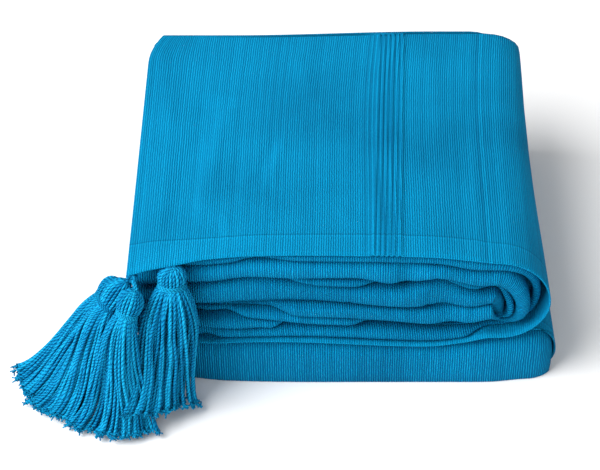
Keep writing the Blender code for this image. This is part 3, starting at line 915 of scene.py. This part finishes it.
# a strand's way over the head: share of the way up from the neck, and of the girth
headRings = ((1.0, 0.12), (0.97, 0.36), (0.88, 0.66), (0.72, 0.9), (0.5, 1.0), (0.26, 0.96), (0.1, 0.86))
yarn = {
    "radius": 1.33,
    "thickness": (0.88, 1.08),
    "sides": 6,
    "step": 3.0,
    "routeStep": 5.0,
    "apart": 3.2,  # in the head's outer ring
    "stray": 0.16,
    "wave": 2.8,
    "wavePace": 2.6,
    "pile": 0.56,
    "fan": 8.0,
    "level": 4.0,
    "flare": 0.25,
    "flareLength": 8,
    "drop": 0.28,  # how far down the skirt swells most, as a share of the neck's height
    "backSwell": 0.3,
    "lowest": 1.3,
    "seed": 8,
}
fray = {"fibres": 7, "radius": 0.55, "length": (1.6, 4.6), "back": 2.0, "along": 0.8, "curl": 0.7}
binding = {
    "turns": 3,
    "points": 14,
    "pitch": 1.5,
    "radius": 0.75,
    "over": 0.4,
    "cord": (1.3, 1.2),
    "cordGap": 1.6,
    "cordIn": 4.0,
    "cordOut": 1.0,
}
core = {"inside": 2.2, "long": 0.95, "segments": (20, 14)}
rings = {"outer": 1.0, "under": 0.94, "inner": 0.8, "golden": 0.381966}


def bezier(p0, p1, p2, p3, t):
    u = 1 - t
    return p0 * u**3 + p1 * (3 * u * u * t) + p2 * (3 * u * t * t) + p3 * t**3


def endOnFloor(tassel, u, v):
    first, centre, last = (Vector(end) for end in (tassel.firstEnd, tassel.middleEnd, tassel.lastEnd))
    end = centre.lerp(first if u < 0 else last, abs(u))
    bow = (centre - (first + last) / 2) * (abs(u) * (1 - abs(u)))
    behind = (math.sqrt(max(0.0, 1 - u * u)) - v) / 2
    inward = (Vector(tassel.neck[:2]) - end).normalized() * (tassel.depth * behind)
    flat = end + bow + inward
    lift = tassel.lift * (1 - u) / 2  # where it lies on its neighbour
    piled = yarn["pile"] * tassel.depth * (1 + v) / 2
    return Vector((flat.x, flat.y, yarn["radius"] + 0.3 + lift + piled))


def strandRoute(tassel, frameOf, place, overHead, rng):
    # from the top of the head or the middle of the neck, out through the binding and down to the floor
    axis, across, thick = frameOf
    u, v = place
    top, neck = Vector(tassel.top), Vector(tassel.neck)
    radius = math.hypot(u, v)
    bearing = (across * u + thick * v) / max(radius, 1e-6)
    route = []
    if overHead:
        for upward, width in headRings:
            route.append(neck.lerp(top, upward) + bearing * (width * tassel.girth - yarn["radius"]))
    narrow = tassel.girth * tassel.neckShare - yarn["radius"]
    root = neck + (across * u + thick * v) * narrow
    stray = yarn["stray"]
    u, v = (min(max(c + rng.uniform(-stray, stray), -1.0), 1.0) for c in (u, v))
    end = endOnFloor(tassel, u, v)
    bend = neck.lerp(end, tassel.bendShare)
    bend.z = end.z + tassel.bendHeight
    level = Vector((end.x - neck.x, end.y - neck.y, 0)).normalized()
    outward = across * u + thick * max(v, yarn["backSwell"] * v)
    swell = root + axis * (yarn["drop"] * neck.z) + outward * (narrow * tassel.swell)
    curve = (root, swell, bend + level * (yarn["fan"] * v), end)
    count = max(8, round((end - root).length / yarn["routeStep"]))
    lowest = yarn["lowest"] * yarn["radius"]
    seed = Vector((rng.uniform(0, 90), rng.uniform(0, 90), rng.uniform(0, 90)))
    for i in range(count + 1):
        t = i / count
        point = bezier(*curve, t)
        sway = noise.noise_vector(seed + Vector((0, 0, yarn["wavePace"] * t)))
        point += sway * yarn["wave"] * ease(3 * t)
        point.z = max(point.z, lowest)
        route.append(point)
    tip = route[-1] + level * rng.uniform(0.5, 1.0) * yarn["level"]
    tip.z = max(route[-1].z - 1.0, lowest)
    route.append(tip)
    return route


def evenly(route, step):
    # points at even steps along a smooth curve through the route
    fine = []
    padded = [route[0] * 2 - route[1], *route, route[-1] * 2 - route[-2]]
    for p0, p1, p2, p3 in zip(padded, padded[1:], padded[2:], padded[3:]):
        for j in range(6):
            t = j / 6
            bend = 2 * p0 - 5 * p1 + 4 * p2 - p3
            fine.append(p1 + 0.5 * t * (p2 - p0 + t * (bend + t * (3 * (p1 - p2) + p3 - p0))))
    fine.append(route[-1])
    even, travelled = [fine[0]], 0.0
    for a, b in zip(fine, fine[1:]):
        travelled += (b - a).length
        if travelled >= step:
            even.append(b)
            travelled = 0.0
    return even


def frayAt(tip, heading, rng):
    # loose fibres that curl out of a cut end
    fibres = []
    for i in range(fray["fibres"]):
        way = (heading * fray["along"] + Vector([rng.uniform(-1, 1) for k in range(3)])).normalized()
        curl = Vector([rng.uniform(-1, 1) for k in range(3)])
        length = rng.uniform(*fray["length"])
        points = [tip - heading * fray["back"]]
        for j in range(1, 4):
            t = j / 3
            point = tip + way * (length * t) + curl * (fray["curl"] * length * t * t)
            point.z = max(point.z, fray["radius"] + 0.1)
            points.append(point)
        fibres.append((points, fray["radius"]))
    return fibres


def yarnSection():
    data = bpy.data.curves.new("yarn_section", "CURVE")
    data.dimensions = "2D"
    line = data.splines.new("POLY")
    sides = yarn["sides"]
    line.points.add(sides - 1)
    for i, point in enumerate(line.points):
        angle = 2 * math.pi * i / sides
        point.co = (math.cos(angle) * mm, math.sin(angle) * mm, 0, 1)
    line.use_cyclic_u = True
    return inScene(bpy.data.objects.new("yarn_section", data))


def tubesFrom(name, routes, section, finish):
    # twisted strands along the routes, as one mesh
    data = bpy.data.curves.new(name, "CURVE")
    data.dimensions = "3D"
    data.bevel_mode = "OBJECT"
    data.bevel_object = section
    data.use_fill_caps = True
    data.twist_mode = "MINIMUM"
    for route, radius in routes:
        step = yarn["step"] * min(1.0, radius / 1.2)
        points = evenly(route, step)
        line = data.splines.new("POLY")
        line.points.add(len(points) - 1)
        for i, (target, point) in enumerate(zip(line.points, points)):
            target.co = (*inFrame(point), 1)
            fromEnd = (len(points) - 1 - i) * step
            target.radius = radius * (1 + yarn["flare"] - yarn["flare"] * ease(fromEnd / yarn["flareLength"]))
    curve = inScene(bpy.data.objects.new(name + "_route", data))
    mesh = bpy.data.meshes.new_from_object(curve.evaluated_get(bpy.context.evaluated_depsgraph_get()))
    bpy.data.objects.remove(curve)
    mesh.name = name
    bm = bmesh.new()
    bm.from_mesh(mesh)
    length = bm.loops.layers.uv.active
    for face in bm.faces:
        # the map's X becomes a true length
        places = [loop[length].uv.x for loop in face.loops]
        span = max(places) - min(places)
        for loop in face.loops:
            loop[length].uv.x *= yarn["step"] * mm / span if len(face.verts) == 4 else 0.0
    bmesh.ops.remove_doubles(bm, verts=bm.verts, dist=0.00001)
    bmesh.ops.recalc_face_normals(bm, faces=bm.faces)
    bm.to_mesh(mesh)
    bm.free()
    mesh.uv_layers[0].name = "yarn"
    mesh.shade_smooth()
    mesh.materials.clear()
    mesh.materials.append(finish)
    return inScene(bpy.data.objects.new(name, mesh))


knotLoops = ((0.2, 3.9), (1.2, 3.0), (2.2, 4.0), (2.9, 1.8))  # lean in radians and size of each


def knotTurns():
    # the knot that gathers three of the tassels at the corner of the hem
    turns = []
    for lean, size in knotLoops:
        first = Vector((math.cos(lean), 0.3, math.sin(lean))).normalized()
        second = first.cross(Vector((0.4, 1.0, 0.2))).normalized()
        angles = steps(0, 2 * math.pi, 0.5)
        loop = [Vector(knot) + (first * math.cos(a) + second * math.sin(a)) * size for a in angles]
        turns.append((loop + loop[:1], 1.9))
    return turns


def tasselFrame(tassel):
    # the way down the head, and the two ways across it
    neck = Vector(tassel.neck)
    axis = (neck - Vector(tassel.top)).normalized()
    outward = Vector((*tassel.middleEnd, 0)) - Vector((neck.x, neck.y, 0))
    thick = (outward - axis * outward.dot(axis)).normalized()
    across = axis.cross(thick)
    if across.dot(Vector((*tassel.lastEnd, 0)) - Vector((*tassel.firstEnd, 0))) < 0:
        across = -across
    return axis, across, thick


def strandPlaces(tassel):
    # radius and turn of each strand, and whether it runs over the head
    ring = round(2 * math.pi * (tassel.girth - yarn["radius"]) / yarn["apart"])
    inner = tassel.strands - 2 * ring
    places = [(rings["outer"], i / ring, True) for i in range(ring)]
    places += [(rings["under"], (i + 0.5) / ring, False) for i in range(ring)]
    for i in range(inner):
        places.append((rings["inner"] * math.sqrt((i + 0.5) / inner), i * rings["golden"], False))
    return places


def makeCore(tassel, frameOf, finish):
    # the core of the head, under its strands
    axis, across, thick = frameOf
    top, neck = Vector(tassel.top), Vector(tassel.neck)
    bm = bmesh.new()
    around, high = core["segments"]
    bmesh.ops.create_uvsphere(bm, u_segments=around, v_segments=high, radius=1.0)
    half = (neck - top).length / 2
    width = tassel.girth - core["inside"] * yarn["radius"]
    for vert in bm.verts:
        local = vert.co.copy()
        out = (across * local.x + thick * local.y) * width
        vert.co = inFrame(neck.lerp(top, 0.5) + out - axis * (local.z * half * core["long"]))
    bmesh.ops.recalc_face_normals(bm, faces=bm.faces)
    return pieceFrom(bm, tassel.name + "_core", finish)


def makeBinding(tassel, frameOf, section, finish):
    # the binding at the neck, and the cord that holds the head to the cloth
    axis, across, thick = frameOf
    top, neck, anchor = Vector(tassel.top), Vector(tassel.neck), Vector(tassel.anchor)
    turns, points = binding["turns"], binding["points"]
    radius = tassel.girth * tassel.neckShare + binding["over"]
    coil = []
    for i in range(turns * points + 1):
        angle = 2 * math.pi * i / points
        spot = across * math.cos(angle) + thick * math.sin(angle)
        coil.append(neck + spot * radius + axis * (binding["pitch"] * (i / points - turns / 2)))
    bends = [Vector(bend) for bend in tassel.bends]
    hanger = [top + axis * binding["cordIn"], top - axis * binding["cordOut"], *bends, anchor]
    beside = [point + across * binding["cordGap"] for point in hanger]
    tied = [(coil, binding["radius"]), (hanger, binding["cord"][0]), (beside, binding["cord"][1])]
    if tassel.name == "tassel_left_upper":
        tied += knotTurns()
    return tubesFrom(tassel.name + "_binding", tied, section, finish)


def makeTassel(tassel, section, finish):
    rng = random.Random(tassel.name)
    noise.seed_set(yarn["seed"])  # without it the strands sway differently in each run
    frameOf = tasselFrame(tassel)
    routes = []
    for radius, turn, overHead in strandPlaces(tassel):
        place = (radius * math.cos(2 * math.pi * turn), radius * math.sin(2 * math.pi * turn))
        route = strandRoute(tassel, frameOf, place, overHead, rng)
        routes.append((route, yarn["radius"] * rng.uniform(*yarn["thickness"])))
        routes += frayAt(route[-1], (route[-1] - route[-3]).normalized(), rng)
    skirt = tubesFrom(tassel.name + "_strands", routes, section, finish)
    head = makeCore(tassel, frameOf, finish)
    for piece in (skirt, head, makeBinding(tassel, frameOf, section, finish)):
        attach(piece, body)
        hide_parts(tassel.name)
    print(tassel.name, len(skirt.data.polygons), "faces")


# Stage, light and camera

studio = {
    "floor": 0.9,
    "floorSize": 6.0,
    "world": 0.44,
    "cameraPlace": (-0.0343, -1.26954, 1.17334),
    "cameraPitch": 42.0,
    "lens": 105.0,
    "sensor": 36.0,
}
Lamp = namedtuple("Lamp", "name place size watts")
lamps = (
    Lamp("key_light", (-2.2, -1.0, 2.7), 3.2, 212.0),
    Lamp("fill_light", (0.1, -2.4, 0.8), 1.6, 13.0),
)


def makeStudio():
    bm = bmesh.new()
    bmesh.ops.create_grid(bm, x_segments=1, y_segments=1, size=studio["floorSize"])
    f = Finish("pale_floor")
    f.set(Base_Color=(studio["floor"],) * 3 + (1,), Roughness=0.9, Specular_IOR_Level=0.1)
    pieceFrom(bm, "floor", f.material)

    world = bpy.data.worlds.new("studio")
    world.use_nodes = True
    sky = world.node_tree.nodes["Background"]
    sky.inputs["Color"].default_value = (1, 1, 1, 1)
    sky.inputs["Strength"].default_value = studio["world"]
    bpy.context.scene.world = world
    bpy.context.scene.view_settings.view_transform = "Standard"
    for lamp in lamps:
        data = bpy.data.lights.new(lamp.name, "AREA")
        data.shape = "DISK"
        data.size = lamp.size
        data.energy = lamp.watts
        light = inScene(bpy.data.objects.new(lamp.name, data))
        light.location = lamp.place
        light.rotation_euler = (-Vector(lamp.place)).to_track_quat("-Z", "Y").to_euler()

    data = bpy.data.cameras.new("camera")
    data.lens = studio["lens"]
    data.sensor_width = studio["sensor"]
    camera = inScene(bpy.data.objects.new("camera", data))
    camera.location = studio["cameraPlace"]
    camera.rotation_euler = (math.radians(90 - studio["cameraPitch"]), 0, 0)
    bpy.context.scene.camera = camera
    print("studio")


makeStudio()
cloth = makeCloth()
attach(cloth, body)
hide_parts("throw")
yarnShape = yarnSection()
yarnMaterial = yarnFinish()
for tassel in tassels:
    makeTassel(tassel, yarnShape, yarnMaterial)
bpy.data.objects.remove(yarnShape)
